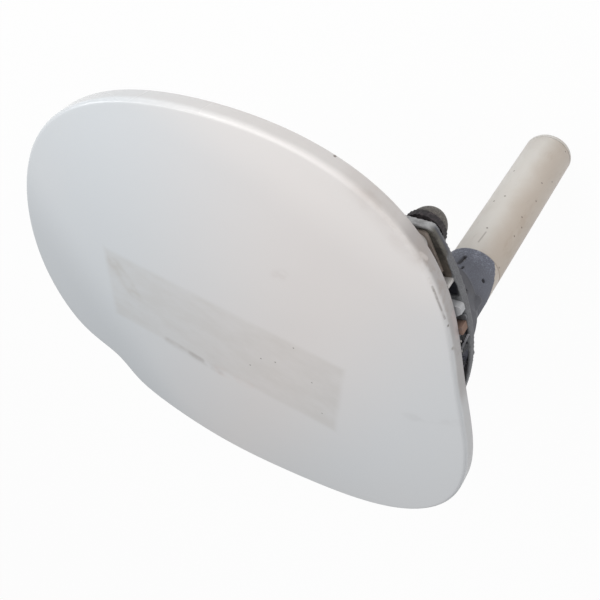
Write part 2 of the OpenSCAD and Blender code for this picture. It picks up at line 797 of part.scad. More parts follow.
module knob_stud() {
    color("silver") translate([knob_place.x, knob_place.y, knob_low_z - 1])
        cylinder(shell_rear_z - 0.5 - knob_low_z, r = stud_r);
}

mast_tube();
end_cap();
mast_socket();
socket_screws();
grub_screw();
bracket_plate();
mount_bolts();
mount_washers();
rim_pads();
pad_screws();
packing_block();
end_pad();
lock_knob();
knob_cap();
knob_washer();
knob_stud();
rear_shell();
radome_cover();
rim_gasket();
stiffener_ring();
rim_screws();
backing_plate();
foam_core();
array_board();
patch_elements();
array_spacers();
ground_plane();
feed_board();
receiver_board();
shield_can();
board_posts();
cable_socket();
cable_socket_nut();
vent_plug();
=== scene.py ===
"""Looks of the thin radome antenna on its mast tube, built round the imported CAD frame."""
import json
import math

import bmesh
import bpy
from mathutils import Matrix, Vector


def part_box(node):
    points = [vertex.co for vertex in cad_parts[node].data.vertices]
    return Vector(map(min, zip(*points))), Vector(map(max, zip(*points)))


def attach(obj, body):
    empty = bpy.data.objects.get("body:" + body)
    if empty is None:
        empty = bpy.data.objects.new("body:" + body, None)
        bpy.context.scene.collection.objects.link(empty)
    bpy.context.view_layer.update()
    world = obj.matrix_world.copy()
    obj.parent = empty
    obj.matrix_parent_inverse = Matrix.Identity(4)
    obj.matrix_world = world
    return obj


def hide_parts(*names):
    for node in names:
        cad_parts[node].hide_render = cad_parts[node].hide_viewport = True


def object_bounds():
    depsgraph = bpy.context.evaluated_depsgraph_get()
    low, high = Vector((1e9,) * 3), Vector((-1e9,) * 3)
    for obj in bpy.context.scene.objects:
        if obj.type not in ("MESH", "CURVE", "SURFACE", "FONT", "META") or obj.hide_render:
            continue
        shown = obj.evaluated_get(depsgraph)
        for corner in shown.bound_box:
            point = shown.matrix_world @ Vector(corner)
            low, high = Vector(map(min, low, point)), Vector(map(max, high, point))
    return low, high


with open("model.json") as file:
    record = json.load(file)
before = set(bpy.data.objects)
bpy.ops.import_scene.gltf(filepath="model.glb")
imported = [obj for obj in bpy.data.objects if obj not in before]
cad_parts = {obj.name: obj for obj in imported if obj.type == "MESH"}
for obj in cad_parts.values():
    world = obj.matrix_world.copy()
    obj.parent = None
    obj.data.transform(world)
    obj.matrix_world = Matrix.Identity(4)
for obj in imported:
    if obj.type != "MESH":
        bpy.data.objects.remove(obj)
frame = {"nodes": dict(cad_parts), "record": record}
cad_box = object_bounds()

MM = 0.001
NO_TURN = (0, 0, 0)
FULL_SIZE = (1, 1, 1)


# ---- Places and sizes, in metres unless a comment says millimetres ----

mast_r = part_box("mast_tube")[1].x
face_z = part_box("radome_cover")[1].z
plate_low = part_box("bracket_plate")[0]
plate_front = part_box("bracket_plate")[1].z
socket_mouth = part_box("mast_socket")[0].z
pad_low, pad_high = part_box("rim_pads")
end_pad_middle = (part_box("end_pad")[0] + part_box("end_pad")[1]) / 2

# The faded rectangle on the cover's face: turn in degrees, centre in millimetres, length and width
LABEL_TURN = -23.2
LABEL_CENTRE = (238, 29)
LABEL_SIZE = (0.286, 0.106)
# Dots of dirt on the cover's face, in millimetres
FACE_DOTS = [(170, 46), (208, 59), (188, 45), (138, 20), (135, 110), (132, 65), (51, 0)]
# Two chips through the cover's paint on its rim
RIM_PITS = [(-0.0329, -0.0365, 0.3138), (0.0364, -0.1820, 0.3010)]
# The pockets' painted light and shade starts this far in from the plate's outer edge, which bows with
# the square of Y
WALL_WIDTH = 0.0065
WALL_BOW = 6.5
# The plate's pockets by the rim pad and by the packing block: centre and half sizes
POCKETS = [((-0.012, -0.075, 0.285), (0.022, 0.045, 0.010)),
           ((-0.016, 0.010, 0.285), (0.014, 0.040, 0.010))]
# The recess round the end pad: half sizes
RECESS = (0.030, 0.030, 0.0035)
# Flecks on the mast tube: turn about its axis in degrees, height in millimetres
PIPE_FLECKS = [(288, 66), (268, 113), (261, 166), (209, 128), (212, 70), (190, 197), (287, 121),
               (200, 95), (189, 53), (200, 154), (195, 137), (203, 4), (150, 60), (95, 110),
               (40, 150), (10, 80)]
# Thickness of the socket's wall round the tube
SLEEVE_WALL = 0.0025
# The mast tube's own wall, and its groove: gap below the socket, width and depth, in millimetres
TUBE_WALL = 3
GROOVE_GAP = 0.5
GROOVE_WIDTH = 1.5
GROOVE_DEPTH = 0.4
# The knurled ring keeps this share of its height, and the cap's dome grows by this factor across
RING_SHARE = 0.68
DOME_GROWTH = 1.07
# The shell's two short ridges lie beyond this X, within this half width, and end this far above the pad
RIDGE_X = -0.014
RIDGE_HALF = 0.012
RIDGE_LIFT = 0.0023
# The rim pad's outline from its lowest corner, and its round front corner, in millimetres
PAD_OUTLINE = [(-0.5, 1.8), (6, 0.5), (11, 0), (17, 0), (17, 16), (9.5, 15.5), (2.2, 10.6), (-0.5, 8.8)]
PAD_ROUND = 2
# The plate's two thin slanted ribs: start, end and thickness in millimetres, then their foot and top
POCKET_RIBS = [((-34.2, -17.6), (-23.0, 1.4), 1.2), ((-34.4, -6.6), (-21.4, 18.2), 1.8)]
RIB_FOOT = plate_low.z + 3 * MM
RIB_TOP = plate_front + 1.2 * MM

# An edge counts as sharp above this angle, in degrees
SHARP = 32

# The floor's radius and its gap below the part
FLOOR_RADIUS = 12
FLOOR_GAP = 0.0002
# The sky's strength where the camera doesn't see it
AMBIENT = 0.45
# The camera: lens and sensor in millimetres, its place, and its right and up directions
LENS = 48
SENSOR = 36
CAMERA_PLACE = Vector((-303.7, -449.6, 731.0)) * MM
CAMERA_RIGHT = Vector((-0.80520, 0.29148, -0.51643))
CAMERA_UP = Vector((0.12572, -0.76716, -0.62901))


# ---- Shader arithmetic ----

class Wire:
    """A shader socket that takes part in arithmetic; node() adds any other kind of node."""

    def __init__(self, tree, socket):
        self.tree, self.socket = tree, socket

    def node(self, kind, settings=None, inputs=None, output=0):
        """A new node with these settings and inputs, as the wire from one of its outputs."""
        made = self.tree.nodes.new("ShaderNode" + kind)
        for name, value in (settings or {}).items():
            setattr(made, name, value)
        for name, value in (inputs or {}).items():
            if isinstance(value, Wire):
                self.tree.links.new(value.socket, made.inputs[name])
            else:
                made.inputs[name].default_value = value
        return Wire(self.tree, made.outputs[output])

    def calc(self, operation, first, second):
        return self.node("Math", {"operation": operation}, {0: first, 1: second})

    def __add__(self, other):
        return self.calc("ADD", self, other)

    def __sub__(self, other):
        return self.calc("SUBTRACT", self, other)

    def __rsub__(self, other):
        return self.calc("SUBTRACT", other, self)

    def __mul__(self, other):
        return self.calc("MULTIPLY", self, other)

    def __truediv__(self, other):
        return self.calc("DIVIDE", self, other)

    __radd__ = __add__
    __rmul__ = __mul__


def cloud(place, scale, detail=3.0, rough=0.55):
    """Soft noise from 0 to 1, with scale in blobs per metre."""
    return place.node("TexNoise", None,
                      {"Vector": place, "Scale": scale, "Detail": detail, "Roughness": rough})


def step(value, low, high):
    """0 below low, 1 above high, and a smooth slope between."""
    return value.node("MapRange", {"interpolation_type": "SMOOTHSTEP"},
                      {"Value": value, "From Min": low, "From Max": high})


def tint(mask, under, over):
    """The colour under where mask is 0, and over where it is 1."""
    under, over = (side if isinstance(side, Wire) else (*side, 1) for side in (under, over))
    return mask.node("Mix", {"data_type": "RGBA"}, {0: mask, 6: under, 7: over}, output=2)


def stretched(place, turn, size, centre=(0, 0, 0)):
    """Coordinates centred on a point, turned and divided by size along each axis."""
    return place.node("Mapping", {"vector_type": "TEXTURE"},
                      {"Vector": place, "Location": centre, "Rotation": turn, "Scale": size})


def centred(place, centre):
    """Coordinates whose origin is at a point."""
    return stretched(place, NO_TURN, FULL_SIZE, tuple(centre))


def specks(place, spacing, radius, share=0.5):
    """Scattered dots about spacing apart; share of them show."""
    cells = {"Vector": place, "Scale": 1 / spacing}
    near = place.node("TexVoronoi", {"feature": "F1"}, cells, output="Distance")
    lot = place.node("TexVoronoi", {"feature": "F1"}, cells, output="Color")
    draw = lot.node("SeparateColor", None, {0: lot})
    dots = 1 - step(near, radius / spacing * 0.6, radius / spacing)
    return dots * step(draw, 1 - share, 1.02 - share)


def axis(place, letter):
    """One coordinate of a place."""
    return place.node("SeparateXYZ", None, {0: place}, output=letter)


def larger(first, second):
    """The higher of two masks."""
    return first.calc("MAXIMUM", first, second)


def zone(place, half, soft):
    """1 inside a box of half sizes about the origin of place, fading over soft at its faces."""
    sides = place.node("VectorMath", {"operation": "ABSOLUTE"}, {0: place})
    over = sides.node("VectorMath", {"operation": "SUBTRACT"}, {0: sides, 1: half})
    far = larger(larger(axis(over, "X"), axis(over, "Y")), axis(over, "Z"))
    return 1 - step(far, -soft, soft)


def spots(place, centres, radius):
    """Dots at given points, with an edge broken up by fine noise."""
    found = None
    for centre in centres:
        gap = place.node("VectorMath", {"operation": "DISTANCE"}, {0: place, 1: centre}, output="Value")
        found = gap if found is None else found.calc("MINIMUM", found, gap)
    return 1 - step(found + cloud(place, 900, 1) * radius * 0.6, radius * 0.7, radius * 1.5)


def streak(place, start, end, width):
    """A soft stroke between two points."""
    start, end = Vector(start), Vector(end)
    along = end - start
    offset = place.node("VectorMath", {"operation": "SUBTRACT"}, {0: place, 1: start})
    dot = place.node("VectorMath", {"operation": "DOT_PRODUCT"}, {0: offset, 1: along}, output="Value")
    share = place.node("Clamp", None, {"Value": dot / along.length_squared})
    foot = place.node("VectorMath", {"operation": "SCALE"}, {0: along, "Scale": share})
    gap = place.node("VectorMath", {"operation": "DISTANCE"}, {0: offset, 1: foot}, output="Value")
    return 1 - step(gap, width * 0.3, width)


def bump(height, depth, strength):
    """A normal from a height map, with depth in metres."""
    return height.node("Bump", None, {"Height": height, "Distance": depth, "Strength": strength})


class Finish:
    """A material: constants sit on its Principled shader's sockets, and wires drive the rest."""

    def __init__(self, name, **constants):
        self.material = bpy.data.materials.new(name)
        self.material.use_nodes = True
        tree = self.material.node_tree
        self.shader = tree.nodes["Principled BSDF"]
        self.place = Wire(tree, tree.nodes.new("ShaderNodeTexCoord").outputs["Object"])
        for name, value in constants.items():
            self.shader.inputs[name.replace("_", " ")].default_value = value

    def drive(self, **wires):
        for name, wire in wires.items():
            wire.tree.links.new(wire.socket, self.shader.inputs[name.replace("_", " ")])
        return self.material


# ---- Finishes ----

def around(turn):
    """A point on the mast tube's wall, turn degrees about its axis."""
    return Vector((math.cos(math.radians(turn)), math.sin(math.radians(turn)))) * mast_r


def on_face(*points):
    """Points on the cover's face, from millimetres across it."""
    return [(x * MM, y * MM, face_z) for x, y in points]


def cover_tones_light_and_shade(p):
    """White, warm by the mast and cooler away from it, with painted light on its near side and painted
    shade: greyer at the far end and on the wall, darker still on the wall by the bracket.
    """
    x, y = axis(p, "X"), axis(p, "Y")
    drift = cloud(p, 4) * 0.06
    warm = tint(step(cloud(p, 5), 0.35, 0.65), (0.715, 0.69, 0.685), (0.70, 0.675, 0.67))
    cool = tint(step(cloud(p, 4), 0.35, 0.65), (0.655, 0.69, 0.725), (0.665, 0.692, 0.72))
    cool_far = step(x - y * 0.6 + drift, 0.15, 0.45)
    cool_side = step(y - x + drift, -0.10, 0.11) * 0.75
    colour = tint(larger(cool_far, cool_side), warm, cool)
    # Painted shade: the face greyer towards its far end.
    painted_shade_far_end = step(x + y * 0.15 + drift, 0.08, 0.43) * 0.36 + step(x + y * 0.15, 0.36, 0.45) * 0.45
    colour = tint(painted_shade_far_end, colour, (0.50, 0.53, 0.56))
    # Painted light: the face and wall paler towards the near side.
    painted_light_near_side = 1 - step(y + x * 0.8 + drift, -0.105, -0.025)
    colour = tint(painted_light_near_side * 0.5, colour, (0.80, 0.775, 0.765))

    # Painted shade: the side wall greyer than the face.
    wall = 1 - step(axis(p, "Z") + cloud(p, 40) * 0.003, face_z - 0.009, face_z - 0.004)
    colour = tint(wall * 0.38, colour, (0.46, 0.445, 0.435))
    # Painted shade: the wall darker still next to the bracket.
    painted_shade_by_bracket = step(y, -0.136, -0.116) * (1 - step(y, 0.040, 0.066)) * (1 - step(x, 0.0, 0.05))
    return tint(wall * painted_shade_by_bracket * (0.52 + cloud(p, 45, 4) * 0.34), colour, (0.37, 0.348, 0.345))


def faded_label(p, colour):
    """A plain rectangle where a label was, unevenly faded."""
    label = stretched(p, (0, 0, math.radians(LABEL_TURN)), FULL_SIZE, *on_face(LABEL_CENTRE))
    ghost = zone(label, (LABEL_SIZE[0] / 2, LABEL_SIZE[1] / 2, 0.02), 0.0045)
    worn = step(cloud(stretched(label, NO_TURN, (2.2, 1, 1)), 38, 6, 0.65), 0.28, 0.70)
    return tint(ghost * (0.11 + worn * 0.14), colour, (0.40, 0.365, 0.32))


def face_smears(p, colour):
    """Brown and grey smears: by the far corner, across the label's place, and towards the rim."""
    corner = streak(p, *on_face((346, -55), (338, -16)), 0.014) * step(cloud(p, 70, 2), 0.2, 0.8)
    colour = tint(corner * 0.26, colour, (0.33, 0.28, 0.22))
    smear = streak(p, *on_face((322, 50), (262, 81)), 0.009) * step(cloud(p, 55, 3), 0.2, 0.75)
    core = streak(p, *on_face((294, 63), (282, 69)), 0.006) * (0.4 + cloud(p, 90, 2) * 0.6)
    colour = tint(smear * 0.28 + core * 0.35, colour, (0.26, 0.235, 0.215))
    blush = streak(p, *on_face((262, 80), (226, 92)), 0.011) * step(cloud(p, 70, 4), 0.3, 0.7)
    colour = tint(blush * 0.14, colour, (0.62, 0.42, 0.36))
    drag = streak(p, *on_face((40, 85), (-22, 78)), 0.008) * step(cloud(p, 60, 4), 0.35, 0.75)
    colour = tint(drag * 0.14, colour, (0.34, 0.33, 0.33))
    thumb = streak(p, *on_face((124, -70), (115, -72)), 0.009) * step(cloud(p, 110, 3), 0.3, 0.7)
    return tint(thumb * 0.12, colour, (0.40, 0.33, 0.30))


def rim_dirt_and_glint(p, colour):
    """Marks on the rim by the mast: a dark line, chips, a painted glint, rust, soil and a pink blush.
    """
    line = streak(p, (-0.0288, -0.0775, 0.3160), (-0.0320, -0.0450, 0.3150), 0.0014)
    line = line * (0.22 + step(cloud(p, 200, 3), 0.3, 0.6) * 0.38)
    colour = tint(larger(line, spots(p, RIM_PITS, 0.0014) * 0.85), colour, (0.13, 0.105, 0.090))
    # Painted highlight: a pale glint on the rim.
    painted_glint = streak(p, (-0.0237, -0.1050, 0.3110), (-0.0245, -0.0985, 0.3085), 0.0030)
    colour = tint(painted_glint * 0.6, colour, (0.86, 0.82, 0.80))
    near_rim = streak(p, (-0.0260, -0.1020, 0.3100), (-0.0330, -0.0400, 0.3060), 0.010)
    rust = near_rim * step(cloud(p, 120, 5, 0.65), 0.44, 0.68)
    colour = tint(rust * 0.4, colour, (0.36, 0.29, 0.25))
    soiled = streak(p, (0.0150, -0.1680, 0.3060), (-0.0230, -0.1050, 0.3060), 0.020)
    colour = tint(soiled * (0.14 + step(cloud(p, 50, 5), 0.4, 0.7) * 0.22), colour, (0.40, 0.33, 0.29))
    chip = streak(p, (-0.0317, -0.0115, 0.3132), (-0.0306, 0.0017, 0.3063), 0.0026)
    colour = tint(chip * step(cloud(p, 150, 4), 0.36, 0.66) * 0.7, colour, (0.24, 0.215, 0.19))
    pink = streak(p, (-0.0325, -0.0400, 0.3030), (-0.0325, -0.0160, 0.3035), 0.0050)
    return tint(pink * 0.30, colour, (0.62, 0.50, 0.49))


def gelcoat():
    """White cover: dull face, glossy rim, painted light and shade, the place of a label, smears,
    specks, dirt and a painted glint.
    """
    f = Finish("gelcoat_white", Coat_Roughness=0.12)
    p = f.place
    colour = face_smears(p, faded_label(p, cover_tones_light_and_shade(p)))
    scratch = streak(p, *on_face((51, 0), (42, 4)), 0.0013)
    scuff = streak(p, *on_face((380, 5), (377, 17)), 0.0012) * 0.5
    marks = larger(spots(p, on_face(*FACE_DOTS), 0.0011), larger(scratch, scuff))
    fine = specks(p, 0.05, 0.0008, 0.25)
    colour = rim_dirt_and_glint(p, tint(marks * 0.75 + fine * 0.15, colour, (0.10, 0.09, 0.085)))

    shiny = 1 - step(axis(p, "Z"), face_z - 0.0036, face_z - 0.0026)
    shiny = shiny * step(axis(p, "X") + cloud(p, 30) * 0.01, 0.100, 0.155)
    rough = 0.46 - shiny * 0.24 + cloud(p, 7, 2) * 0.08 + marks * 0.2
    return f.drive(Base_Color=colour, Roughness=rough, Coat_Weight=0.05 + shiny * 0.35,
                   Normal=bump(cloud(p, 28, 2), 0.0004, 0.2))


def aged_shaded_plastic(name, colour, dark, painted_shade_colour, rough=0.42):
    """Cream pipe plastic with painted shade, darker and warmer, on its side away from the radome, and
    stains, scratches and flecks.
    """
    f = Finish(name, Coat_Weight=0.05)
    p = f.place
    base = tint(step(cloud(p, 18, 5), 0.4, 0.72), colour, dark)
    # Painted shade: the side away from the radome darker and warmer; the stains are painted heavier
    # there too, as part of that shade.
    side = step(axis(p, "X") + cloud(p, 25, 4) * 0.012, 0.004, -0.016)
    base = tint(side * 0.85, base, painted_shade_colour)
    stain = step(cloud(stretched(p, NO_TURN, (1, 1, 2.5)), 60, 5, 0.65), 0.52, 0.74)
    base = tint(stain * (0.10 + side * 0.30), base, (0.42, 0.33, 0.25))
    scratch = cloud(stretched(p, (0.3, 0.1, 0.4), (1, 1, 9)), 260, 2)
    base = tint(step(scratch, 0.68, 0.76) * 0.22, base, [c * 0.6 for c in dark])
    centres = [(r.x, r.y, height * MM) for height, r in ((h, around(turn)) for turn, h in PIPE_FLECKS)]
    flecks = spots(p, centres, 0.0011)
    thin = streak(p, (*around(258), 0.172), (*around(260), 0.188), 0.0011)
    few = specks(p, 0.022, 0.0008, 0.3)
    base = tint(flecks * 0.8 + thin * 0.35 + few * 0.35, base, (0.10, 0.055, 0.035))
    return f.drive(Base_Color=base, Roughness=rough + step(scratch, 0.5, 0.8) * 0.2,
                   Normal=bump(cloud(p, 500, 2), 0.00006, 0.4))


def speckled(f, colour, light, dark, grain):
    """The colour and fine height of speckled paint, worn pale where noise runs high."""
    fine = cloud(f.place, grain, 2, 0.7)
    base = tint(step(fine, 0.36, 0.64), dark, colour)
    base = tint(step(fine, 0.60, 0.74) * 0.6, base, light)
    base = tint(step(cloud(f.place, 45, 5, 0.65), 0.55, 0.72) * 0.35, base, light)
    return tint(step(cloud(f.place, 30, 4), 0.52, 0.75) * 0.35, base, dark), fine


def cast_paint(name, colour, light, dark, grain):
    """Speckled paint on a small casting."""
    f = Finish(name)
    base, fine = speckled(f, colour, light, dark, grain)
    return f.drive(Base_Color=base, Roughness=0.50 + fine * 0.25, Normal=bump(fine, 0.00022, 0.7))


def socket_paint():
    """Blue-grey hammered paint with painted shade, paler by the mouth and darker down the fairing to
    its foot, and painted glints by the mouth.
    """
    f = Finish("socket_paint")
    p = f.place
    base, fine = speckled(f, (0.165, 0.180, 0.228), (0.34, 0.36, 0.42), (0.105, 0.112, 0.146), 1100)
    flat = p.node("VectorMath", {"operation": "MULTIPLY"}, {0: p, 1: (1, 1, 0)})
    out = flat.node("VectorMath", {"operation": "LENGTH"}, {0: flat}, output="Value")
    sleeve, mouth = mast_r + SLEEVE_WALL, socket_mouth
    fairing = step(out, sleeve + 0.0003, sleeve + 0.0018)
    height = axis(p, "Z") + cloud(p, 60, 4) * 0.010
    boss = 1 - step(axis(p, "X"), -0.0265, -0.0235)
    down = step(height, mouth + 0.014, mouth + 0.036)
    # Painted shade: the fairing dark below the sleeve, less so on the boss.
    base = tint(fairing * (1 - boss * 0.45) * down * 0.84, base, (0.048, 0.047, 0.052))
    # Painted shade: darker the further from the mouth, towards the plate.
    base = tint(step(height, mouth + 0.034, mouth + 0.056) * 0.55, base, (0.060, 0.060, 0.066))
    base = tint(step(height, mouth + 0.008, mouth + 0.028) * 0.40, base, (0.100, 0.102, 0.118))
    # Painted glints: pale flecks on the lit part by the mouth.
    painted_glints = step(cloud(p, 420, 2, 0.7), 0.52, 0.68) * (1 - step(height, mouth + 0.006, mouth + 0.030))
    base = tint(painted_glints * 0.50, base, (0.42, 0.44, 0.52))
    # Painted shade in the crease where the fairing leaves the sleeve.
    crease = fairing * (1 - step(out, sleeve + 0.0010, sleeve + 0.0022))
    base = tint(crease * step(height, mouth + 0.016, mouth + 0.026) * 0.7, base, (0.030, 0.030, 0.036))

    # Painted shade: near black in the window, the nick, the grub screw's hole and inside the bore.
    window = streak(p, (-0.0010, -0.0275, mouth + 0.0236), (-0.0031, -0.0273, mouth + 0.0138), 0.0030)
    nick = streak(p, (-0.0061, -0.0268, mouth + 0.0308), (-0.0069, -0.0266, mouth + 0.0268), 0.0016)
    grub = spots(p, [(-0.0239, -0.0135, mouth + 0.0275)], 0.0020)
    hole_shade = larger(window, larger(nick, grub))
    inside = 1 - step(out, sleeve - 0.0010, sleeve - 0.0002)
    base = tint(larger(hole_shade * 0.92, inside * 0.88), base, (0.020, 0.019, 0.024))
    worn = step(cloud(p, 170, 4, 0.7), 0.64, 0.74)
    base = tint(worn * (1 - fairing) * 0.45, base, (0.30, 0.31, 0.34))
    return f.drive(Base_Color=base, Roughness=0.46 + fine * 0.3, Normal=bump(fine, 0.00020, 0.7))


def plate_paint():
    """Grey paint of the bracket plate: pale on its worn end wall, dirty in the recess by the knob, with
    painted shade and painted light in its pockets.
    """
    f = Finish("plate_paint")
    p = f.place
    x, y, z = axis(p, "X"), axis(p, "Y"), axis(p, "Z")
    base, fine = speckled(f, (0.165, 0.168, 0.180), (0.27, 0.275, 0.285), (0.115, 0.117, 0.127), 800)
    under_front = 1 - step(z, plate_front - 0.0035, plate_front - 0.0012)
    above_floor = step(z, plate_low.z + 0.0022, plate_low.z + 0.0028)
    edge = step(x - plate_low.x + cloud(p, 90, 3) * 0.002, WALL_WIDTH, WALL_WIDTH + 0.0025)
    past_bow = step(x - plate_low.x - y * y * WALL_BOW, WALL_WIDTH, WALL_WIDTH + 0.0015)
    by_pad, by_block = (zone(centred(p, middle), half, 0.002) for middle, half in POCKETS)
    pockets = under_front * above_floor * edge * larger(by_pad, by_block * past_bow)
    # Painted shade in the pocket by the rim pad, dark bluish; painted light in the pocket by the
    # packing block, pale lavender.
    pocket_light_and_shade = tint(step(y, -0.040, -0.015), (0.055, 0.058, 0.082), (0.60, 0.61, 0.72))
    base = tint(pockets * 0.9, base, tint(cloud(p, 70, 3) * 0.3, pocket_light_and_shade, (0.10, 0.10, 0.11)))

    end = 1 - step(y - plate_low.y + cloud(p, 60, 3) * 0.003, 0.004, 0.011)
    worn = tint(step(cloud(p, 130, 4, 0.6), 0.42, 0.66), (0.54, 0.545, 0.55), (0.31, 0.31, 0.315))
    base = tint(end * 0.85, base, worn)
    lip = step(z, plate_front - 0.0010, plate_front - 0.0004) * step(cloud(p, 160, 3), 0.35, 0.6)
    base = tint(lip * 0.35, base, (0.30, 0.31, 0.32))
    recess = zone(centred(p, end_pad_middle), RECESS, 0.002)
    mud = tint(step(cloud(p, 130, 5, 0.65), 0.40, 0.62), (0.115, 0.108, 0.088), (0.055, 0.048, 0.040))
    mud = tint(step(y, -0.090, -0.072) * 0.7, mud, (0.20, 0.165, 0.135))
    muddy = recess * (1 - end) * step(edge + cloud(p, 100, 3) * 0.5, 0.2, 0.8)
    base = tint(muddy * 0.9, base, mud)
    return f.drive(Base_Color=base, Roughness=0.52 + fine * 0.25, Normal=bump(fine, 0.00018, 0.7))


def metal(name, colour, rough=0.34, tarnish=(0.22, 0.20, 0.18)):
    """Plated or mill metal, brushed by fine noise and dulled in patches."""
    f = Finish(name, Metallic=1.0)
    p = f.place
    dull = step(cloud(p, 60, 5, 0.65), 0.48, 0.75)
    brush = cloud(stretched(p, (0, 0, 0.6), (1, 14, 1)), 900, 2)
    return f.drive(Base_Color=tint(dull * 0.4, colour, tarnish),
                   Roughness=rough + dull * 0.25 + brush * 0.12, Normal=bump(brush, 0.00004, 0.5))


def matt(name, colour, dark, rough=0.7, grain=700, dirt_and_glint_scale=50, depth=0.0001):
    """Moulded plastic, rubber, foam or board with fine grain and patchy dirt; on the knob's dark ring
    the lighter patches are painted glints.
    """
    f = Finish(name)
    p = f.place
    fine = cloud(p, grain, 2, 0.6)
    # Patchy dirt; on the knob ring these patches are lighter, as painted glints.
    dirt = step(cloud(p, dirt_and_glint_scale, 5, 0.65), 0.45, 0.72)
    return f.drive(Base_Color=tint(dirt, colour, dark), Roughness=rough + fine * 0.15,
                   Normal=bump(fine, depth, 0.5))


def board(name, colour, trace):
    """Circuit board: traces in a soft grid under solder mask."""
    f = Finish(name, Coat_Weight=0.3)
    p = f.place
    wave = {"Vector": p, "Scale": 60.0, "Distortion": 3.0, "Detail": 1.0, "Detail Scale": 2.0}
    lines = p.node("TexWave", {"bands_direction": "X"}, wave, output=1)
    mask = step(lines, 0.72, 0.8)
    return f.drive(Base_Color=tint(mask * 0.6, colour, trace), Roughness=0.35 + mask * 0.1,
                   Normal=bump(mask, 0.00005, 0.6))


FINISHES = {
    "cover_white": gelcoat(),
    "shell_white": matt("shell_moulding", (0.62, 0.61, 0.60), (0.50, 0.475, 0.455), 0.35, 300, 20),
    # The mast's and the cap's last colour is their painted shade.
    "mast_cream": aged_shaded_plastic("mast_cream", (0.73, 0.705, 0.665), (0.68, 0.645, 0.60),
                               (0.52, 0.445, 0.375)),
    "cap_cream": aged_shaded_plastic("cap_cream", (0.73, 0.72, 0.70), (0.66, 0.64, 0.61), (0.60, 0.56, 0.51)),
    "socket_paint": socket_paint(),
    "plate_paint": plate_paint(),
    "strip_tan": matt("strip_tan", (0.40, 0.34, 0.30), (0.20, 0.165, 0.14), 0.85, 500, 110, 0.0003),
    "screw_steel": metal("screw_steel", (0.50, 0.50, 0.51)),
    "dull_zinc": metal("dull_zinc", (0.24, 0.25, 0.27), 0.6),
    # The ribs' pale paint is painted light, for their tops catching light in the dark pocket.
    "rib_painted_light": cast_paint("rib_painted_light", (0.52, 0.525, 0.56), (0.62, 0.62, 0.64),
                           (0.34, 0.345, 0.37), 700),
    "dark_steel": metal("dark_steel", (0.045, 0.045, 0.05), 0.6, (0.03, 0.028, 0.028)),
    "pad_rubber": matt("pad_rubber", (0.50, 0.51, 0.53), (0.40, 0.40, 0.41), 0.75),
    "packing_brown": matt("packing_brown", (0.255, 0.165, 0.128), (0.165, 0.135, 0.125), 0.8,
                          300, 120, 0.0003),
    # On the knob's dark ring the lighter patches are painted glints on its knurls.
    "knob_dark": matt("knob_dark", (0.014, 0.011, 0.013), (0.060, 0.047, 0.051), 0.62,
                      500, 300, 0.0003),
    "knob_cap": cast_paint("knob_cap", (0.130, 0.118, 0.104), (0.27, 0.245, 0.21),
                           (0.060, 0.053, 0.048), 600),
    "gasket_rubber": matt("gasket_rubber", (0.035, 0.035, 0.037), (0.06, 0.06, 0.06), 0.8),
    "ring_plastic": matt("ring_plastic", (0.55, 0.55, 0.54), (0.45, 0.44, 0.43), 0.5),
    "sheet_aluminium": metal("sheet_aluminium", (0.72, 0.73, 0.74), 0.4),
    "foam": matt("foam", (0.70, 0.67, 0.58), (0.60, 0.56, 0.47), 0.9, 1500, 90, 0.0004),
    "board_green": board("board_green", (0.03, 0.14, 0.06), (0.07, 0.24, 0.11)),
    "patch_copper": metal("patch_copper", (0.72, 0.42, 0.24), 0.3),
    "nylon": matt("nylon", (0.68, 0.67, 0.62), (0.60, 0.58, 0.52), 0.5),
    "tinned_steel": metal("tinned_steel", (0.66, 0.66, 0.64), 0.3),
    "nickel": metal("nickel", (0.62, 0.60, 0.56), 0.2),
    "vent_black": matt("vent_black", (0.03, 0.03, 0.03), (0.05, 0.05, 0.05), 0.6),
}
SLOT_OF = {part["node"]: part["material_slot"] for part in frame["record"]["subparts"]}
bodies = frame["record"]["behaviour"]["bodies"]
BODY_OF = {node: body for body, nodes in bodies.items() for node in nodes}

for node, thing in frame["nodes"].items():
    thing.data.materials.clear()
    thing.data.materials.append(FINISHES[SLOT_OF[node]])


# ---- Making pieces ----

def place_piece(name, mesh, node):
    """A finished mesh becomes a piece on the body and slot of the CAD node that it stands for."""
    piece = bpy.data.objects.new(name, mesh)
    bpy.context.scene.collection.objects.link(piece)
    slot = SLOT_OF[node]
    mesh.materials.clear()
    mesh.materials.append(FINISHES[slot])
    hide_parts(node)
    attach(piece, BODY_OF[node])
    return piece


def merged(node):
    """A bmesh copy of a CAD node with its doubles merged."""
    bm = bmesh.new()
    bm.from_mesh(frame["nodes"][node].data)
    bmesh.ops.remove_doubles(bm, verts=bm.verts, dist=0.01 * MM)
    return bm


def sharpen(bm, angle=SHARP):
    """Smooth shading, with edges sharper than angle kept hard."""
    for face in bm.faces:
        face.smooth = True
    for edge in bm.edges:
        edge.smooth = len(edge.link_faces) != 2 or edge.calc_face_angle() < math.radians(angle)


def to_mesh(bm, name):
    """A mesh of this name from a bmesh, which is freed."""
    mesh = bpy.data.meshes.new(name)
    bm.to_mesh(mesh)
    bm.free()
    return mesh


def ease_edges(piece, width, segments=2, angle=SHARP):
    """Edges sharper than angle are rounded by width, in millimetres."""
    ease = piece.modifiers.new("Ease", "BEVEL")
    ease.width, ease.segments, ease.profile = width * MM, segments, 0.5
    ease.limit_method, ease.angle_limit = "ANGLE", math.radians(angle)
    ease.harden_normals = True


def dressed(node, width):
    """A CAD node with its flat faces joined up, smooth curves, and its sharp edges eased by width."""
    bm = merged(node)
    bmesh.ops.dissolve_limit(bm, angle_limit=math.radians(0.5), verts=bm.verts, edges=bm.edges)
    sharpen(bm)
    piece = place_piece(node + "_eased", to_mesh(bm, node + "_eased"), node)
    ease_edges(piece, width)
    return piece


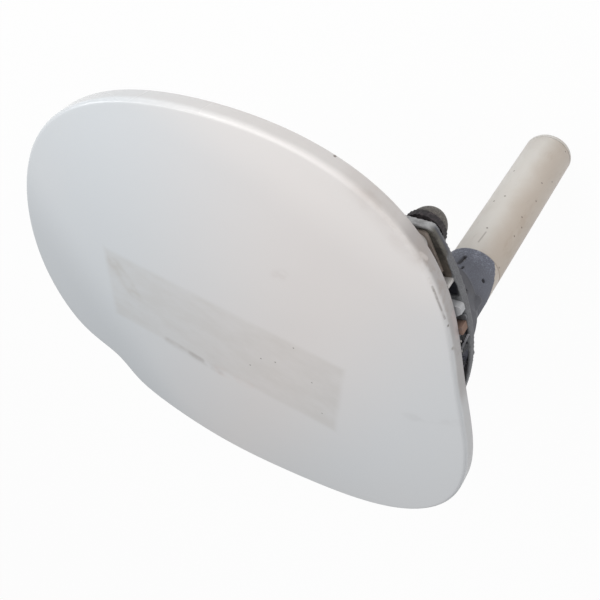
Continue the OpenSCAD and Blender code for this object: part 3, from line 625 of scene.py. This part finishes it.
def cast_copy(node, voxel, rounds=3):
    """A CAD node remeshed in voxels, sized in millimetres, and smoothed like a painted casting."""
    piece = place_piece(node + "_cast", to_mesh(merged(node), node + "_cast"), node)
    remesh = piece.modifiers.new("Remesh", "REMESH")
    remesh.mode, remesh.voxel_size, remesh.use_smooth_shade = "VOXEL", voxel * MM, True
    soften = piece.modifiers.new("Soften", "SMOOTH")
    soften.factor, soften.iterations = 0.5, rounds


def turned(points, segments):
    """A bmesh solid turned about Z from a closed profile of (radius, height) points in millimetres."""
    bm = bmesh.new()
    verts = [bm.verts.new((r * MM, 0, z * MM)) for r, z in points]
    edges = [bm.edges.new(pair) for pair in zip(verts, verts[1:] + verts[:1])]
    bmesh.ops.spin(bm, geom=verts + edges, cent=(0, 0, 0), axis=(0, 0, 1), angle=math.tau,
                   steps=segments, use_merge=True, use_duplicate=False)
    bmesh.ops.remove_doubles(bm, verts=bm.verts, dist=0.01 * MM)
    bmesh.ops.recalc_face_normals(bm, faces=bm.faces)
    return bm


def rounded(points, radius):
    """A closed profile with each corner cut by a small two-step round."""
    out = []
    for i, here in enumerate(points):
        here = Vector(here)
        before, after = Vector(points[i - 1]), Vector(points[(i + 1) % len(points)])
        reach = min(radius, (before - here).length / 2.2, (after - here).length / 2.2)
        one = here + (before - here).normalized() * reach
        two = here + (after - here).normalized() * reach
        out += [one, (one + two) * 0.25 + here * 0.5, two]
    return out


def prism(outline, low, high):
    """A bmesh block over an outline of (x, y) points, between two heights."""
    bm = bmesh.new()
    base = bm.faces.new([bm.verts.new((x, y, low)) for x, y in outline])
    grown = bmesh.ops.extrude_face_region(bm, geom=[base])["geom"]
    tops = [part for part in grown if isinstance(part, bmesh.types.BMVert)]
    bmesh.ops.translate(bm, vec=(0, 0, high - low), verts=tops)
    bmesh.ops.recalc_face_normals(bm, faces=bm.faces)
    return bm


# ---- Radome ----

def radome_cover():
    """The cover's skin, subdivided so that its outline runs smoothly."""
    bm = merged("radome_cover")
    bmesh.ops.join_triangles(bm, faces=bm.faces, angle_face_threshold=math.radians(60),
                             angle_shape_threshold=math.radians(60))
    sharpen(bm, 50)
    crease = bm.edges.layers.float.new("crease_edge")
    for edge in bm.edges:
        edge[crease] = 0.0 if edge.smooth else 0.9
    piece = place_piece("radome_skin", to_mesh(bm, "radome_skin"), "radome_cover")
    round_off = piece.modifiers.new("Round", "SUBSURF")
    round_off.levels = round_off.render_levels = 2


def rear_shell():
    """The shell, its two short ridges over the plate drawn in: the plate's thin ribs stand for them."""
    piece = dressed("rear_shell", 0.5)
    for vert in piece.data.vertices:
        if vert.co.x < RIDGE_X and abs(vert.co.y) < RIDGE_HALF:
            vert.co.z = max(vert.co.z, pad_high.z + RIDGE_LIFT)


radome_cover()
rear_shell()
dressed("rim_screws", 0.25)


# ---- Mast, socket, bracket and knob ----

def mast_tube():
    """The tube, with the fine groove that marks its depth in the socket."""
    low, high = (end.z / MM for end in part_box("mast_tube"))
    mark = socket_mouth / MM - GROOVE_GAP
    outer = mast_r / MM
    inner, bottom = outer - TUBE_WALL, outer - GROOVE_DEPTH
    start = mark - GROOVE_WIDTH
    groove = [(outer, start), (bottom, start), (bottom, mark), (outer, mark)]
    bm = turned(rounded([(inner, low), (outer, low), *groove, (outer, high), (inner, high)], 0.5), 128)
    sharpen(bm)
    place_piece("mast_pipe", to_mesh(bm, "mast_pipe"), "mast_tube")


def rim_pad():
    """The pad under the rim: a block with one slanted side and a rounded front corner."""
    outline = [(pad_low.x + x * MM, pad_low.y + y * MM) for x, y in PAD_OUTLINE]
    bm = prism(outline, pad_low.z, pad_high.z)
    front = [edge for edge in bm.edges
             if all((vert.co - pad_low).xy.length < PAD_ROUND * 1.1 * MM for vert in edge.verts)]
    bmesh.ops.bevel(bm, geom=front, offset=PAD_ROUND * MM, offset_type="OFFSET", segments=5,
                    profile=0.5, affect="EDGES", material=-1)
    sharpen(bm, 25)
    ease_edges(place_piece("rim_pad", to_mesh(bm, "rim_pad"), "rim_pads"), 0.5, 3, 30)


def pocket_rib(name, start, end, thick):
    """A thin diagonal rib of the plate, between two points of its front, in millimetres."""
    start, end = Vector(start) * MM, Vector(end) * MM
    across = Vector((start.y - end.y, end.x - start.x)).normalized() * thick * MM / 2
    bm = prism([start - across, end - across, end + across, start + across], RIB_FOOT, RIB_TOP)
    sharpen(bm)
    piece = bpy.data.objects.new(name, to_mesh(bm, name))
    bpy.context.scene.collection.objects.link(piece)
    # Its pale paint is painted light.
    piece.data.materials.append(FINISHES["rib_painted_light"])
    ease_edges(piece, 0.25, 2, 30)
    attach(piece, BODY_OF["bracket_plate"])


def knob():
    """The ring stands lower and its teeth are worn down; the domed cap fills the rest of the height."""
    cap_low, cap_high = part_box("knob_cap")
    ring_low, ring_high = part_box("lock_knob")
    middle = ((cap_low + cap_high) / 2).xy
    reach = (ring_high.x - ring_low.x) / 2
    rise = (ring_high.z - ring_low.z) * (1 - RING_SHARE) / (ring_low.z - cap_low.z)

    for vert in dressed("lock_knob", 0.2).data.vertices:
        flat = vert.co.xy - middle
        if flat.length > reach * 0.9:
            flat *= (reach + flat.length) / 2 / flat.length
        vert.co = (*(middle + flat), ring_high.z - (ring_high.z - vert.co.z) * RING_SHARE)
    for vert in dressed("knob_cap", 0.3).data.vertices:
        flat = (vert.co.xy - middle) * DOME_GROWTH
        vert.co = (*(middle + flat), cap_low.z + (vert.co.z - cap_low.z) * (1 + rise))


mast_tube()
dressed("end_cap", 0.3)
cast_copy("mast_socket", 0.8)
cast_copy("bracket_plate", 1.0, 2)
for number, rib in enumerate(POCKET_RIBS):
    pocket_rib(f"pocket_rib_{number}", *rib)
dressed("socket_screws", 0.3).data.materials[0] = FINISHES["plate_paint"]
dressed("grub_screw", 0.2)
dressed("mount_bolts", 0.3)
dressed("mount_washers", 0.2)
rim_pad()
dressed("pad_screws", 0.3).data.materials[0] = FINISHES["dull_zinc"]
dressed("packing_block", 0.5)
dressed("end_pad", 0.3)
dressed("knob_washer", 0.2)
dressed("knob_stud", 0.3)
knob()
dressed("cable_socket", 0.3)
dressed("vent_plug", 0.3)


# ---- Stage, light and camera ----

def stage_floor():
    """A pale floor just under the part; seen directly or in a reflection it glows nearly white."""
    bm = bmesh.new()
    bmesh.ops.create_circle(bm, cap_ends=True, segments=64, radius=FLOOR_RADIUS)
    bmesh.ops.translate(bm, vec=(0, 0, cad_box[0].z - FLOOR_GAP), verts=bm.verts)
    floor = bpy.data.objects.new("floor", to_mesh(bm, "floor"))
    bpy.context.scene.collection.objects.link(floor)
    material = bpy.data.materials.new("pale_floor")
    material.use_nodes = True
    tree = material.node_tree
    shader, out = tree.nodes["Principled BSDF"], tree.nodes["Material Output"]
    path = Wire(tree, tree.nodes.new("ShaderNodeLightPath").outputs["Is Camera Ray"])
    glossy = Wire(tree, path.socket.node.outputs["Is Glossy Ray"])
    through = Wire(tree, path.socket.node.outputs["Is Transmission Ray"])
    grain = cloud(Wire(tree, tree.nodes.new("ShaderNodeTexCoord").outputs["Object"]), 3)
    pale = tint(grain, (0.78, 0.78, 0.78), (0.82, 0.82, 0.82))
    tree.links.new(pale.socket, shader.inputs["Base Color"])
    shader.inputs["Roughness"].default_value = 0.9
    seen = path.node("Clamp", None, {"Value": path + glossy + through})
    glow = seen.node("Emission", None, {"Color": (1, 1, 1, 1), "Strength": 1.0})
    mix = seen.node("MixShader", None, {0: seen * 0.96, 1: Wire(tree, shader.outputs[0]), 2: glow})
    tree.links.new(mix.socket, out.inputs["Surface"])
    floor.data.materials.append(material)


def area_lamp(name, place, aim, size, power, colour=(1, 1, 1)):
    """A rectangular lamp of width and height size, aimed at a point."""
    data = bpy.data.lights.new(name, "AREA")
    data.shape, data.size, data.size_y = "RECTANGLE", size[0], size[1]
    data.energy, data.color = power, colour
    lamp = bpy.data.objects.new(name, data)
    lamp.location = place
    lamp.rotation_euler = (Vector(aim) - Vector(place)).to_track_quat("-Z", "Y").to_matrix().to_euler()
    bpy.context.scene.collection.objects.link(lamp)


def studio():
    """An even pale sky, white where the camera sees it, with a key, a fill and a strip lamp."""
    world = bpy.data.worlds.new("studio")
    bpy.context.scene.world = world
    world.use_nodes = True
    tree = world.node_tree
    back = tree.nodes["Background"]
    path = tree.nodes.new("ShaderNodeLightPath")
    camera = Wire(tree, path.outputs["Is Camera Ray"])
    level = AMBIENT + camera * (1 - AMBIENT)
    tree.links.new(level.socket, back.inputs["Strength"])
    back.inputs["Color"].default_value = (1, 1, 1, 1)
    middle = (cad_box[0] + cad_box[1]) / 2
    area_lamp("key", (0.25, -1.05, 1.22), middle, (0.9, 0.9), 12, (1, 0.985, 0.965))
    area_lamp("fill", (-1.30, -0.55, 0.35), middle, (0.9, 0.9), 4.2, (1, 0.985, 0.97))
    area_lamp("strip", (1.30, -0.60, 1.30), (0.2, -0.1, 0.3), (0.3, 1.3), 4.0)


def camera():
    """The view from above and in front, held by its place and its right and up directions."""
    data = bpy.data.cameras.new("camera")
    data.sensor_width, data.lens = SENSOR, LENS
    data.clip_start, data.clip_end = 0.01, 50
    eye = bpy.data.objects.new("camera", data)
    back = CAMERA_RIGHT.cross(CAMERA_UP)
    turn = Matrix((CAMERA_RIGHT, CAMERA_UP, back)).transposed()
    eye.matrix_world = Matrix.Translation(CAMERA_PLACE) @ turn.to_4x4()
    bpy.context.scene.collection.objects.link(eye)
    bpy.context.scene.camera = eye


stage_floor()
studio()
camera()
bpy.context.scene.view_settings.view_transform = "Standard"
